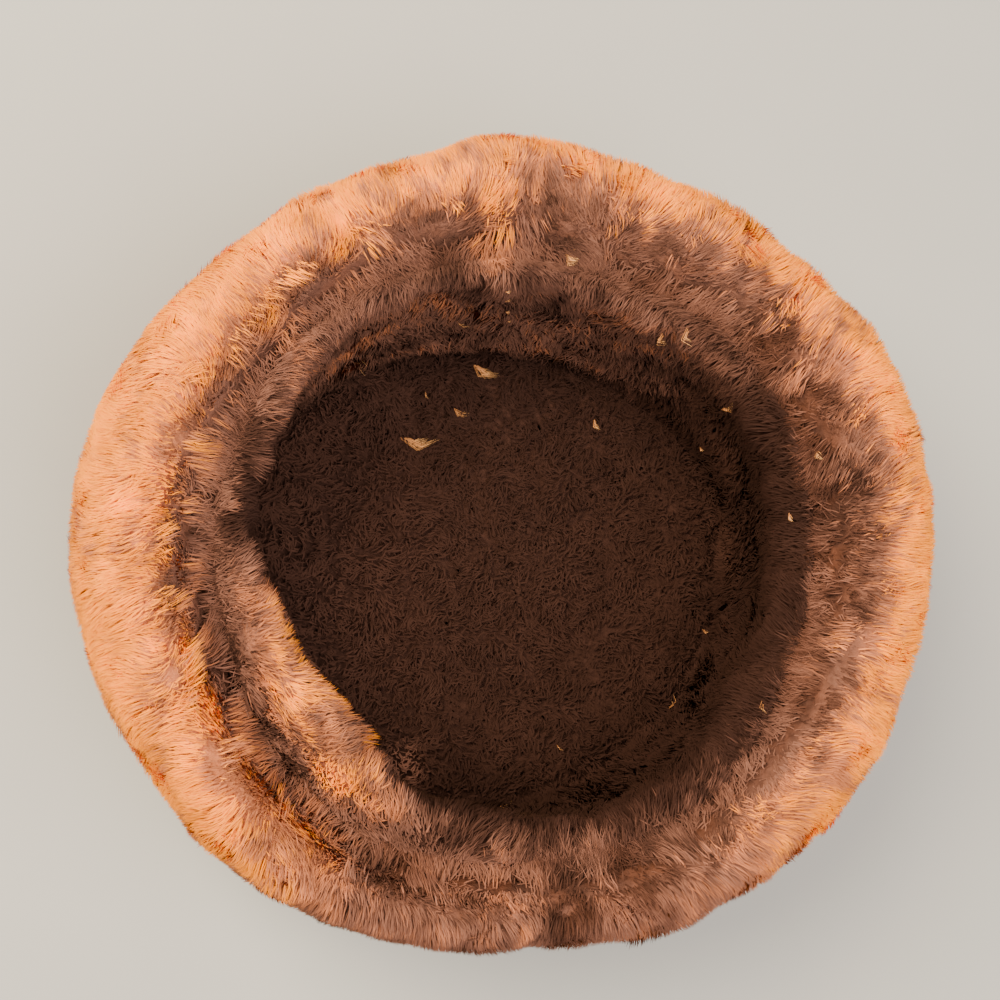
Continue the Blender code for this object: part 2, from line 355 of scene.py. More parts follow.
@dataclass(frozen=True)
class StrandTintEffect:
    """Colours a strand from root to tip by its shade and its bleaching, both of which also hold painted
    light and shade.
    """

    body: Span = (0.05, 0.6)  # along the strand, where its body's colour takes over
    tip: Span = (0.45, 1.0)
    worn: Span = (0.0, 0.6)  # along the strand, where its bleaching grows
    root_share: float = 0.58  # of the bleaching, at the root
    stages: tuple[tuple[str, Span], ...] = (
        ("Faded Colour", (0.0, 0.38)),
        ("Russet Colour", (0.38, 0.7)),
        ("Bleached Colour", (0.7, 0.92)),
    )

    def group(self) -> bpy.types.NodeTree:
        """The effect's node group."""
        colours = ["Root Colour", "Body Colour", "Tip Colour", *(name for name, _ in self.stages)]
        nodes, start, end = new_group(
            "strand_tint",
            {name: ("Color", GREY) for name in colours} | {"Shade Spread": ("Float", 0.5)},
            {"Colour": "Color"},
        )
        data = nodes.add("Attribute", {"attribute_name": STRAND_DATA})
        along, shade, bleach = nodes.add("SeparateColor", Color=data.outputs["Color"]).outputs
        colour = start.outputs["Root Colour"]
        for name, span in (("Body Colour", self.body), ("Tip Colour", self.tip)):
            colour = nodes.mix(nodes.ramp(along, *span), colour, start.outputs[name])
        worn = nodes.ramp(along, *self.worn)
        reached = nodes.maths("MULTIPLY_ADD", worn, 1.0 - self.root_share, self.root_share)
        bleaching = nodes.maths("MULTIPLY", bleach, reached)
        for name, span in self.stages:
            colour = nodes.mix(nodes.ramp(bleaching, *span), colour, start.outputs[name])
        lit = lightened(nodes, colour, shade, start.outputs["Shade Spread"])
        nodes.feed(end.inputs["Colour"], lit)
        return nodes.tree


@dataclass(frozen=True)
class Effects:
    """The node groups that more than one material uses."""

    mottle: bpy.types.NodeTree = field(default_factory=lambda: MottleEffect().group())
    strand_tint: bpy.types.NodeTree = field(default_factory=lambda: StrandTintEffect().group())


def new_material(name: str) -> tuple[bpy.types.Material, Nodes, bpy.types.Node]:
    """An empty Principled material, its nodes and its shader."""
    material = bpy.data.materials.new(name)
    material.use_nodes = True
    return material, Nodes(material.node_tree), material.node_tree.nodes["Principled BSDF"]


@dataclass(frozen=True)
class Patches:
    """Soft patches on a surface, and how rough it is between and on them."""

    colour: Colour
    scale: float
    share: float
    lightness: float
    roughness: float
    smoother: float

    def paint(
        self, nodes: Nodes, shader: bpy.types.Node, effects: Effects, colour: object
    ) -> bpy.types.NodeSocket:
        """Sets the shader's roughness and base colour.

        Args:
            nodes: the material's nodes.
            shader: its shader.
            effects: the shared node groups.
            colour: the colour between the patches.

        Returns:
            The colour with the patches.
        """
        mottled = nodes.add(
            "Group",
            {"node_tree": effects.mottle},
            Colour=colour,
            Patch_Colour=rgba(self.colour),
            Patch_Scale=self.scale,
            Patch_Share=self.share,
            Lightness_Spread=self.lightness,
        )
        rough = nodes.maths("MULTIPLY_ADD", mottled.outputs["Mask"], -self.smoother, self.roughness)
        nodes.feed(shader.inputs["Roughness"], rough)
        nodes.feed(shader.inputs["Base Color"], mottled.outputs["Colour"])
        return mottled.outputs["Colour"]


@dataclass(frozen=True)
class Curls:
    """The bumps of short curled wool."""

    scale: float = 420.0
    detail: float = 4.0
    distortion: float = 1.5
    strength: float = 0.8
    depth: float = 1.5 * MM
    lightness: float = 0.5
    roughness: float = 0.98
    smoother: float = 0.1
    patch_share: float = 0.2
    finer: float = 3.0  # how much finer its patches are than the strands'


@dataclass(frozen=True)
class WoolFinish:
    """The look of a kind of wool, strand by strand."""

    name: str
    root: Colour
    tip: Colour
    patches: Patches
    shade_spread: float
    sheen: float
    sheen_tint: Colour
    body: Colour = (0.031, 0.0146, 0.0115)
    faded: Colour = (0.185, 0.082, 0.06)
    russet: Colour = (0.5, 0.168, 0.078)
    bleached: Colour = (1.0, 0.30, 0.010)
    sheen_roughness: float = 0.4
    curls: Curls = Curls()

    def tinted(
        self, name: str, effects: Effects, root: Colour, body: Colour, patches: Patches
    ) -> tuple[bpy.types.Material, Nodes, bpy.types.Node]:
        """A material with the wool's tint and without gloss.

        Args:
            name: its name.
            effects: the shared node groups.
            root: the colour at a strand's root.
            body: the colour further along.
            patches: its patches.

        Returns:
            The material, its nodes and its shader.
        """
        material, nodes, shader = new_material(name)
        tint = nodes.add(
            "Group",
            {"node_tree": effects.strand_tint},
            Root_Colour=rgba(root),
            Body_Colour=rgba(body),
            Tip_Colour=rgba(self.tip),
            Faded_Colour=rgba(self.faded),
            Russet_Colour=rgba(self.russet),
            Bleached_Colour=rgba(self.bleached),
            Shade_Spread=self.shade_spread,
        )
        patches.paint(nodes, shader, effects, tint.outputs["Colour"])
        shader.inputs["Specular IOR Level"].default_value = 0.0
        return material, nodes, shader

    def strands(self, effects: Effects) -> bpy.types.Material:
        """The material of the strands.

        Args:
            effects: the shared node groups.

        Returns:
            The material.
        """
        material, _, shader = self.tinted(self.name, effects, self.root, self.body, self.patches)
        shader.inputs["Sheen Weight"].default_value = self.sheen
        shader.inputs["Sheen Roughness"].default_value = self.sheen_roughness
        shader.inputs["Sheen Tint"].default_value = rgba(self.sheen_tint)
        return material

    def underwool(self, effects: Effects) -> bpy.types.Material:
        """The material of the short dense wool between the strands' roots.

        Args:
            effects: the shared node groups.

        Returns:
            The material.
        """
        curls = self.curls
        patches = replace(
            self.patches,
            scale=self.patches.scale * curls.finer,
            share=curls.patch_share,
            lightness=curls.lightness,
            roughness=curls.roughness,
            smoother=curls.smoother,
        )
        name = self.name + "_underwool"
        # painted light: the underwool takes the strands' lighter body and tip colours, so the shade
        # between strands shows less
        material, nodes, shader = self.tinted(name, effects, self.body, self.tip, patches)
        place = nodes.add("TexCoord").outputs["Object"]
        noise = nodes.add(
            "TexNoise", Vector=place, Scale=curls.scale, Detail=curls.detail, Distortion=curls.distortion
        )
        height = noise.outputs["Fac"]
        bump = nodes.add("Bump", Strength=curls.strength, Distance=curls.depth, Height=height)
        nodes.feed(shader.inputs["Normal"], bump.outputs[0])
        return material


OUTER_FINISH = WoolFinish(
    name="outer_fleece",
    root=(0.028, 0.0125, 0.0095),
    tip=(0.046, 0.021, 0.016),
    patches=Patches((0.28, 0.095, 0.05), 42.0, 0.12, 0.35, roughness=0.9, smoother=0.12),
    shade_spread=0.35,
    sheen=0.05,
    sheen_tint=(1.0, 0.35, 0.02),
)
# its dark browns are partly the inner wool's own colour and partly painted shade of the hollow
INNER_FINISH = WoolFinish(
    name="inner_fleece",
    root=(0.023, 0.0105, 0.008),
    tip=(0.037, 0.0172, 0.0137),
    patches=Patches((0.042, 0.019, 0.0145), 50.0, 0.2, 0.35, roughness=0.95, smoother=0.12),
    shade_spread=0.18,
    sheen=0.02,
    sheen_tint=(1.0, 0.5, 0.25),
)
# pale: partly the loose hairs' and lint's own colour and partly painted highlight where their tips catch
# the light
STRAY_FINISH = WoolFinish(
    name="stray_fleece",
    root=(0.40, 0.16, 0.06),
    body=(0.62, 0.27, 0.10),
    tip=(0.85, 0.46, 0.2),
    patches=Patches((0.5, 0.22, 0.09), 300.0, 0.3, 0.35, roughness=0.7, smoother=0.12),
    shade_spread=0.5,
    sheen=0.1,
    sheen_tint=(1.0, 0.8, 0.6),
)


@dataclass(frozen=True)
class SuedeFinish:
    """The napped flesh side of the shearling."""

    name: str = "suede_nap"
    colour: Colour = (0.2, 0.1, 0.055)
    patches: Patches = Patches((0.30, 0.165, 0.095), 45.0, 0.6, 0.3, roughness=0.96, smoother=0.15)
    grain_scale: float = 900.0
    grain_detail: float = 5.0
    grain_roughness: float = 0.7
    grain_depth: float = 0.25 * MM
    grain_strength: float = 0.7
    pore_scale: float = 260.0
    pore_edges: Span = (0.05, 0.45)
    pore_share: float = 0.35
    pore_dark: float = 0.45
    pore_depth: float = 0.6
    sheen: float = 0.35
    sheen_roughness: float = 0.5

    def material(self, effects: Effects) -> bpy.types.Material:
        """The material of the skins.

        Args:
            effects: the shared node groups.

        Returns:
            The material.
        """
        material, nodes, shader = new_material(self.name)
        worn = self.patches.paint(nodes, shader, effects, rgba(self.colour))
        place = nodes.add("TexCoord").outputs["Object"]
        nap = nodes.add(
            "TexNoise",
            Vector=place,
            Scale=self.grain_scale,
            Detail=self.grain_detail,
            Roughness=self.grain_roughness,
        )
        pores = nodes.add("TexVoronoi", Vector=place, Scale=self.pore_scale)
        raised = nodes.ramp(pores.outputs["Distance"], *self.pore_edges)
        share = nodes.maths("MULTIPLY_ADD", raised, -self.pore_share, self.pore_share)
        dark = rgba(tuple(self.pore_dark * part for part in self.colour))
        nodes.feed(shader.inputs["Base Color"], nodes.mix(share, worn, dark))
        deep = nodes.maths("MULTIPLY", raised, self.pore_depth)
        height = nodes.maths("ADD", nap.outputs["Fac"], deep)
        bump = nodes.add("Bump", Strength=self.grain_strength, Distance=self.grain_depth, Height=height)
        nodes.feed(shader.inputs["Normal"], bump.outputs[0])
        shader.inputs["Sheen Weight"].default_value = self.sheen
        shader.inputs["Sheen Roughness"].default_value = self.sheen_roughness
        return material


@dataclass(frozen=True)
class FloorFinish:
    """The plain pale studio floor."""

    colour: Colour = (0.42, 0.415, 0.42)
    patches: Patches = Patches((0.3948, 0.3901, 0.3948), 6.0, 0.5, 0.03, roughness=0.85, smoother=0.05)

    def material(self, effects: Effects) -> bpy.types.Material:
        """The material of the floor."""
        material, nodes, shader = new_material("studio_floor")
        self.patches.paint(nodes, shader, effects, rgba(self.colour))
        return material


@dataclass
class Studio:
    """The floor, the lamps and the light all round."""

    floor_side: float = 14.0
    world_colour: Colour = (1.0, 0.97, 0.93)
    world_strength: float = 0.6
    lamps: tuple[SoftLight, ...] = (
        SoftLight("key_light", (-0.65, 0.4, 1.0), 0.8, 39.0, (1.0, 0.85, 0.58)),
        SoftLight("fill_light", (0.5, -0.4, 1.15), 1.2, 24.0, (1.0, 0.92, 0.76)),
    )

    def build(self, effects: Effects) -> None:
        """Makes the floor and hangs the lamps.

        Args:
            effects: the shared node groups.
        """
        half = self.floor_side / 2.0
        mesh = bpy.data.meshes.new("floor")
        corners = [(-half, -half, 0.0), (half, -half, 0.0), (half, half, 0.0), (-half, half, 0.0)]
        mesh.from_pydata(corners, [], [(0, 1, 2, 3)])
        mesh.materials.append(FloorFinish().material(effects))
        floor = bpy.data.objects.new("floor", mesh)
        bpy.context.scene.collection.objects.link(floor)
        for lamp in self.lamps:
            lamp.hang()
        world = bpy.data.worlds.new("studio")
        world.use_nodes = True
        background = world.node_tree.nodes["Background"]
        background.inputs["Color"].default_value = rgba(self.world_colour)
        background.inputs["Strength"].default_value = self.world_strength
        bpy.context.scene.world = world
        LOG.info("studio built")


class WaveField:
    """A smooth random field over space, as a sum of waves."""

    paces: Span = (0.6, 1.6)  # the fewest and most waves within the middle length of a wave

    def __init__(self, chance: np.random.Generator, wavelength: float, waves: int = 14) -> None:
        """Draws the waves.

        Args:
            chance: the source of random numbers.
            wavelength: the middle length of a wave.
            waves: how many there are.
        """
        heading = unit(chance.normal(size=(waves, 3)))
        pace = chance.uniform(*self.paces, (waves, 1)) * 2.0 * math.pi / wavelength
        self.steps = heading * pace
        self.starts = chance.uniform(0.0, 2.0 * math.pi, waves)
        self.height = math.sqrt(2.0 / waves)

    def at(self, points: np.ndarray) -> np.ndarray:
        """The field, mostly within -1 to 1, at each point."""
        return self.height * np.sin(points @ self.steps.T + self.starts).sum(axis=1)


@dataclass
class Face:
    """A smooth triangle mesh of a wool solid, with what its strands need to know of it."""

    points: np.ndarray
    normals: np.ndarray
    triangles: np.ndarray

    def centres(self) -> np.ndarray:
        """The triangles' middles."""
        return self.points[self.triangles].mean(axis=1)

    def areas(self) -> np.ndarray:
        """The triangles' areas."""
        a, b, c = (self.points[self.triangles[:, k]] for k in range(3))
        return 0.5 * np.linalg.norm(np.cross(b - a, c - a), axis=1)

    def scatter(
        self, chance: np.random.Generator, count: int, weights: np.ndarray
    ) -> tuple[np.ndarray, np.ndarray]:
        """Places spread at random over the face.

        Args:
            chance: the source of random numbers.
            count: how many places.
            weights: how dense they are on each triangle.

        Returns:
            The places and the surface's normals there.
        """
        reach = np.cumsum(self.areas() * weights)
        steps = (np.arange(count) + chance.uniform(size=count)) / count * reach[-1]
        chosen = self.triangles[np.minimum(np.searchsorted(reach, steps), len(reach) - 1)]
        u, v = chance.uniform(size=(2, count, 1))
        folded = u + v > 1.0
        u, v = np.where(folded, 1.0 - u, u), np.where(folded, 1.0 - v, v)
        shares = (1.0 - u - v, u, v)
        places = sum(share * self.points[chosen[:, k]] for k, share in enumerate(shares))
        normals = sum(share * self.normals[chosen[:, k]] for k, share in enumerate(shares))
        return places, unit(normals)


@dataclass(frozen=True)
class Rounding:
    """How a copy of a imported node's mesh is rounded, but left as it is where it meets others."""

    weld: float = 0.01 * MM
    flat: float = math.radians(40.0)
    square: float = math.radians(60.0)
    free: Span = (1.0, 9.0)  # millimetres from its neighbours, where it starts to move
    factor: float = 0.5
    rounds: int = 4
    levels: int = 1

    def of(self, node: str, neighbours: list[BVHTree]) -> bpy.types.Mesh:
        """The rounded copy of a node's mesh.

        Args:
            node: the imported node.
            neighbours: the meshes that it meets.

        Returns:
            The new mesh.
        """
        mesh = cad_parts[node].data.copy()
        bm = bmesh.new()
        bm.from_mesh(mesh)
        bmesh.ops.remove_doubles(bm, verts=bm.verts, dist=self.weld)
        bmesh.ops.join_triangles(
            bm, faces=bm.faces, angle_face_threshold=self.flat, angle_shape_threshold=self.square
        )
        bm.to_mesh(mesh)
        bm.free()
        mesh.shade_smooth()
        copy = bpy.data.objects.new("smooth_copy", mesh)
        bpy.context.scene.collection.objects.link(copy)
        places = np.array([vertex.co for vertex in mesh.vertices])
        free = copy.vertex_groups.new(name="free")
        for k, share in enumerate(rise(self.free, nearest_of(neighbours, places)[1]).tolist()):
            free.add([k], share, "REPLACE")
        smoothing = copy.modifiers.new("smoothing", "SMOOTH")
        smoothing.factor = self.factor
        smoothing.iterations = self.rounds
        smoothing.vertex_group = free.name
        copy.modifiers.new("finer", "SUBSURF").levels = self.levels
        graph = bpy.context.evaluated_depsgraph_get()
        smooth = bpy.data.meshes.new_from_object(copy.evaluated_get(graph))
        bpy.data.objects.remove(copy)
        bpy.data.meshes.remove(mesh)
        return smooth


def read_face(mesh: bpy.types.Mesh) -> Face:
    """The points, normals and triangles of a mesh."""
    count = len(mesh.vertices)
    points, normals = np.empty(count * 3), np.empty(count * 3)
    mesh.vertices.foreach_get("co", points)
    mesh.vertex_normals.foreach_get("vector", normals)
    mesh.calc_loop_triangles()
    triangles = np.empty(len(mesh.loop_triangles) * 3, np.int32)
    mesh.loop_triangles.foreach_get("vertices", triangles)
    return Face(points.reshape(-1, 3), normals.reshape(-1, 3), triangles.reshape(-1, 3))


def nearest_of(trees: list[BVHTree], points: np.ndarray) -> tuple[np.ndarray, np.ndarray]:
    """The nearest place on any of several meshes to each point.

    Args:
        trees: the meshes.
        points: one point a row.

    Returns:
        The nearest places and their distances.
    """
    places, gaps = points.copy(), np.full(len(points), np.inf)
    for tree in trees:
        found = [tree.find_nearest(point) for point in points.tolist()]
        gap = np.array([hit[3] for hit in found])
        closer = gap < gaps
        places[closer] = np.array([tuple(hit[0]) for hit in found])[closer]
        gaps[closer] = gap[closer]
    return places, gaps


def tree_of(node: str) -> BVHTree:
    """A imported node's mesh, ready to be measured to."""
    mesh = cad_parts[node].data
    corners = [vertex.co for vertex in mesh.vertices]
    return BVHTree.FromPolygons(corners, [tuple(face.vertices) for face in mesh.polygons])


def backing(skin: BVHTree, places: np.ndarray, normals: np.ndarray) -> np.ndarray:
    """1 where the wool's face lies against its own skin, 0 where it is free.

    Args:
        skin: the skin.
        places: places on the wool's face.
        normals: the face's directions there.

    Returns:
        The share at each place.
    """
    touching, towards = (5.0, 2.0), (-0.4, 0.1)
    behind, gap = nearest_of([skin], places)
    facing = (unit(behind - places) * normals).sum(axis=1)
    return rise(touching, gap) * smoothstep(*towards, facing)


@dataclass
class Strands:
    """Tapered strands, each from a root over a bend to a tip."""

    root: np.ndarray
    bend: np.ndarray
    tip: np.ndarray
    side: np.ndarray
    width: np.ndarray
    shade: np.ndarray
    bleach: np.ndarray
    normal: np.ndarray
    corners: ClassVar[tuple[float, ...]] = (0.0, 0.0, 0.55, 0.55, 1.0)  # their places along it
    bend_width: ClassVar[float] = 0.9

    def part(self, first: int, step: int) -> "Strands":
        """Every step-th strand, from the first on."""
        return Strands(**{key: value[first::step] for key, value in vars(self).items()})

    def mesh(self, name: str) -> bpy.types.Mesh:
        """The strands as one mesh, each a quad and a pointed triangle.

        Args:
            name: the mesh's name.

        Returns:
            The mesh.
        """
        count, size = len(self.root), len(self.corners)
        half = self.side * self.width[:, None] / 2.0
        bent = half * self.bend_width
        points = (self.root - half, self.root + half, self.bend + bent, self.bend - bent, self.tip)
        faces = ((0, 1, 2, 3), (3, 2, 4))
        loops = np.concatenate(faces)
        each = np.arange(count)[:, None]
        mesh = bpy.data.meshes.new(name)
        mesh.vertices.add(count * size)
        mesh.vertices.foreach_set("co", np.stack(points, axis=1).ravel())
        mesh.loops.add(count * len(loops))
        mesh.loops.foreach_set("vertex_index", (each * size + loops).ravel())
        mesh.polygons.add(count * len(faces))
        mesh.polygons.foreach_set("loop_start", (each * len(loops) + np.array((0, len(faces[0])))).ravel())
        mesh.update(calc_edges=True)
        mesh.shade_smooth()
        along = np.tile(self.corners, count)
        shade, bleach = np.repeat(self.shade, size), np.repeat(self.bleach, size)
        write_strand_data(mesh, along, shade, bleach)
        mesh.normals_split_custom_set_from_vertices(np.repeat(self.normal, size, axis=0))
        return mesh


def write_strand_data(
    mesh: bpy.types.Mesh, along: np.ndarray, shade: np.ndarray, bleach: np.ndarray
) -> None:
    """Gives each of a mesh's points its place along a strand, its shade and its bleaching, which also
    carry painted light and shade.
    """
    values = np.stack((along, shade, bleach, np.ones(len(bleach))), axis=1)
    data = mesh.color_attributes.new(STRAND_DATA, "FLOAT_COLOR", "POINT")
    data.data.foreach_set("color", values.ravel())


def add_piece(name: str, mesh: bpy.types.Mesh, material: bpy.types.Material) -> bpy.types.Object:
    """Makes a piece of the hat that moves with its body.

    Args:
        name: the piece's name.
        mesh: its mesh.
        material: its material.

    Returns:
        The piece.
    """
    mesh.materials.clear()
    mesh.materials.append(material)
    piece = bpy.data.objects.new(name, mesh)
    bpy.context.scene.collection.objects.link(piece)
    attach(piece, BODY)
    LOG.info("%s: %d faces", name, len(mesh.polygons))
    return piece


def free_way(places: np.ndarray) -> np.ndarray:
    """The way out of the wool where two panels meet: up at the crease, and up and in at the floor."""
    inner_corner, inwards = (45.0, 30.0), 0.7
    outward = unit(places * np.array((1.0, 1.0, 0.0)))
    return unit(UP - inwards * rise(inner_corner, places[:, 2:]) * outward)


@dataclass
class Roots:
    """Where strands grow: places on the wool's face, with the directions there."""

    place: np.ndarray
    normal: np.ndarray
    near: np.ndarray  # 1 where two panels meet, falling to 0 away from there
    around: np.ndarray = field(init=False)
    onward: np.ndarray = field(init=False)
    azimuth: np.ndarray = field(init=False)
    radius: np.ndarray = field(init=False)
    seam_lean: ClassVar[float] = 0.75

    def __post_init__(self) -> None:
        """Works out the directions: round the hat, and onward along the section."""
        x, y = self.place[:, 0], self.place[:, 1]
        self.azimuth = np.degrees(np.arctan2(y, x)) % 360.0
        self.radius = np.hypot(x, y)
        outward = unit(np.stack((x, y, 0.0 * x), axis=1))
        self.around = np.cross(UP, outward)
        lean = self.seam_lean * self.near[:, None]
        self.normal = unit((1.0 - lean) * self.normal + lean * free_way(self.place))
        self.onward = unit(np.cross(self.around, self.normal))

    @property
    def height(self) -> np.ndarray:
        """How high each place is."""
        return self.place[:, 2]


@dataclass(frozen=True)
class BleachingAndPaintedLight:
    """Where the wool turns from dark brown to gold, as radii in millimetres round the hat.

    Each row holds an azimuth in degrees, the radius where the wool is still dark and the radius
    from which it is gold. Inside the hollow the dark is partly the wool's own colour and partly
    painted shade. The wall swell is painted light on one side of the hollow's wall, and the lip's
    gold is partly weathered tips and partly painted light. The other spans are radii and heights
    in millimetres. A swell is an azimuth and how many degrees it reaches to each side.
    """

    rows: tuple[tuple[float, float, float], ...] = (
        (14.0, 86.0, 114.0), (30.0, 86.0, 109.0), (46.0, 85.0, 109.0), (62.0, 80.0, 111.0),
        (78.0, 72.0, 117.0), (94.0, 68.0, 119.0), (109.0, 69.0, 114.0), (125.0, 60.0, 110.0),
        (140.0, 58.0, 109.0), (155.0, 68.0, 108.0), (168.0, 78.0, 108.0), (183.0, 83.0, 108.0),
        (197.0, 83.0, 110.0), (212.0, 84.0, 112.0), (224.0, 85.0, 112.0), (237.0, 84.0, 111.0),
        (252.0, 80.0, 108.0), (266.0, 80.0, 108.0), (281.0, 83.0, 110.0), (296.0, 84.0, 112.0),
        (311.0, 84.0, 110.0), (327.0, 87.0, 113.0), (342.0, 86.0, 113.0), (358.0, 86.0, 115.0),
    )
    rim_heights: Span = (58.0, 80.0)
    side_share: float = 0.9
    side_radii: Span = (92.0, 98.0)
    side_heights: Span = (90.0, 72.0)
    # the lip's gold: partly weathered tips and partly painted light where the lip is lit
    lip_share: float = 0.8
    lip_swell: Span = (216.0, 38.0)
    lip_heights: Span = (72.0, 87.0)
    # painted light: one side of the hollow's wall made paler, as if lit
    wall_painted_light: float = 0.37
    wall_painted_light_swell: Span = (92.0, 75.0)
    wall_painted_light_heights: Span = (0.0, 45.0)
    dull_low: float = 0.2
    dull_more: float = 0.45
    dull_swell: Span = (271.0, 48.0)
    dull_heights: Span = (15.0, 60.0)
    swell_core: float = 0.45  # the share of a swell's reach where it is whole

    def at(self, azimuth: np.ndarray, radius: np.ndarray, height: np.ndarray) -> np.ndarray:
        """How bleached wool is, from 0 for dark to 1 for gold, with the painted light of the wall and the
        lip.

        Args:
            azimuth: degrees round the hat.
            radius: distance from the hat's axis.
            height: height above the floor.

        Returns:
            The bleaching at each place.
        """
        angles, dark, gold = (np.array(column) for column in zip(*self.rows))
        low = np.interp(azimuth, angles, dark, period=360.0) * MM
        high = np.interp(azimuth, angles, gold, period=360.0) * MM
        rim = smoothstep(0.0, 1.0, (radius - low) / (high - low)) * rise(self.rim_heights, height)
        side = self.side_share * rise(self.side_radii, radius) * rise(self.side_heights, height)
        # the lip's gold: partly weathered tips, partly painted light
        lip = self.lip_share * self.open_crease(azimuth) * rise(self.lip_heights, height)
        # painted light on one side of the hollow's wall
        wall = self.wall_painted_light * self.swell(azimuth, self.wall_painted_light_swell) * rise(self.wall_painted_light_heights, height)
        dullness = self.dull_low + self.dull_more * rise(self.dull_heights, height)
        dull = 1.0 - dullness * self.swell(azimuth, self.dull_swell)
        return np.maximum.reduce((rim * dull, side * dull, lip, wall))

    def open_crease(self, azimuth: np.ndarray) -> np.ndarray:
        """1 where the band bulges over its lip and the crease is open, 0 away from there."""
        return self.swell(azimuth, self.lip_swell)

    def swell(self, azimuth: np.ndarray, swell: Span) -> np.ndarray:
        """1 at a swell's azimuth, falling smoothly to 0 at its reach."""
        middle, reach = swell
        away = np.abs((azimuth - middle + 180.0) % 360.0 - 180.0)
        return smoothstep(reach, self.swell_core * reach, away)


BLEACHING_AND_PAINTED_LIGHT = BleachingAndPaintedLight()


@dataclass(frozen=True)
class Spot:
    """A place of the wool that shows in the photo at pixel (x, y).

    Its strands are pushed apart by spread millimetres or so, and sunk and darkened with painted
    shade where dark is above 0, as in a pit, and raised and made paler where it is below 0, as in
    a tuft.
    """

    x: float
    y: float
    spread: float
    dark: float


def seen_at(pixel: tuple[float, float], wool: list[BVHTree]) -> np.ndarray:
    """The place on the wool that the camera sees at a pixel of the photo.

    Args:
        pixel: the pixel.
        wool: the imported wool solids.

    Returns:
        The place.
    """
    camera = PhotoCamera()
    eye, ray = camera.eye(), camera.ray(pixel)
    hits = [tree.ray_cast(eye, ray) for tree in wool]
    hit = min((hit for hit in hits if hit[0] is not None), key=lambda hit: hit[3])
    return np.array(hit[0])


SPOTS = tuple(
    Spot(*row)
    for row in (
        (285.0, 775.0, 6.0, 0.6), (240.0, 768.0, 6.0, 0.4), (232.0, 640.0, 8.0, 0.45),
        (240.0, 560.0, 9.0, 0.35), (238.0, 455.0, 6.0, 0.45), (300.0, 292.0, 5.0, 0.5),
        (250.0, 350.0, 5.0, 0.35), (440.0, 245.0, 6.0, 0.4), (524.0, 185.0, 4.0, 0.4),
        (575.0, 190.0, 6.0, 0.4), (570.0, 240.0, 6.0, 0.4), (660.0, 260.0, 6.0, 0.5),
        (835.0, 372.0, 4.0, 0.5), (880.0, 450.0, 5.0, 0.3), (570.0, 897.0, 4.5, 0.7),
        (628.0, 872.0, 5.0, 0.6), (500.0, 912.0, 4.0, 0.45), (465.0, 850.0, 4.0, 0.4),
        (505.0, 858.0, 3.5, 0.5), (395.0, 288.0, 9.0, 0.6), (335.0, 325.0, 7.0, 0.3),
        (455.0, 270.0, 9.0, 0.65), (530.0, 272.0, 9.0, 0.6), (600.0, 285.0, 9.0, 0.5),
        (718.0, 312.0, 9.0, 0.4), (800.0, 398.0, 7.0, 0.3), (845.0, 432.0, 7.0, 0.35),
        (812.0, 635.0, 9.0, 0.4), (795.0, 700.0, 8.0, 0.35), (752.0, 755.0, 9.0, 0.35),
        (668.0, 828.0, 9.0, 0.4), (212.0, 472.0, 7.0, 0.35), (255.0, 580.0, 6.0, 0.4),
        (835.0, 770.0, 7.0, 0.35), (312.0, 872.0, 7.0, 0.3), (492.0, 215.0, 6.0, -0.45),
        (490.0, 245.0, 6.0, -0.4), (348.0, 258.0, 4.5, -0.6), (640.0, 210.0, 6.0, -0.35),
        (280.0, 335.0, 6.0, -0.35), (212.0, 700.0, 6.0, -0.45), (322.0, 790.0, 7.0, -0.4),
        (402.0, 770.0, 7.0, -0.35), (404.0, 832.0, 7.0, -0.35), (312.0, 652.0, 4.0, -0.4),
        (165.0, 560.0, 6.0, -0.3), (728.0, 455.0, 12.0, -0.12), (728.0, 550.0, 12.0, -0.12),
        (500.0, 868.0, 4.0, -0.4), (600.0, 855.0, 4.0, -0.3),
    )
)


@dataclass
class Lie:
    """How strands lie: onward along the face, round it and up from it, and how they look."""

    reach: np.ndarray
    turn: np.ndarray
    proud: np.ndarray
    curl: np.ndarray
    shade: np.ndarray
    bleach: np.ndarray


@dataclass(frozen=True)
class Nap:
    """How a panel's strands lie and differ. Lengths are in millimetres, turns in radians.

    A field's waves change a value by the broad or the fine random field, its spread from strand to
    strand, and its seam part only where two panels meet. The shade's seam part is painted shade in
    the crease.
    """

    reach: float
    reach_more: float = 0.0
    reach_seam: float = 0.0
    reach_waves: float = 0.2
    turn_broad: float = 0.0
    turn_fine: float = 0.0
    turn_spread: float = 0.0
    turn_seam: float = 0.0
    proud: float = 0.4
    proud_waves: float = 0.4
    proud_spread: float = 0.3
    proud_seam: float = 1.0
    proud_open: float = 0.0
    curl: float = 0.6
    shade_waves: float = 0.08
    shade_seam: float = 0.0


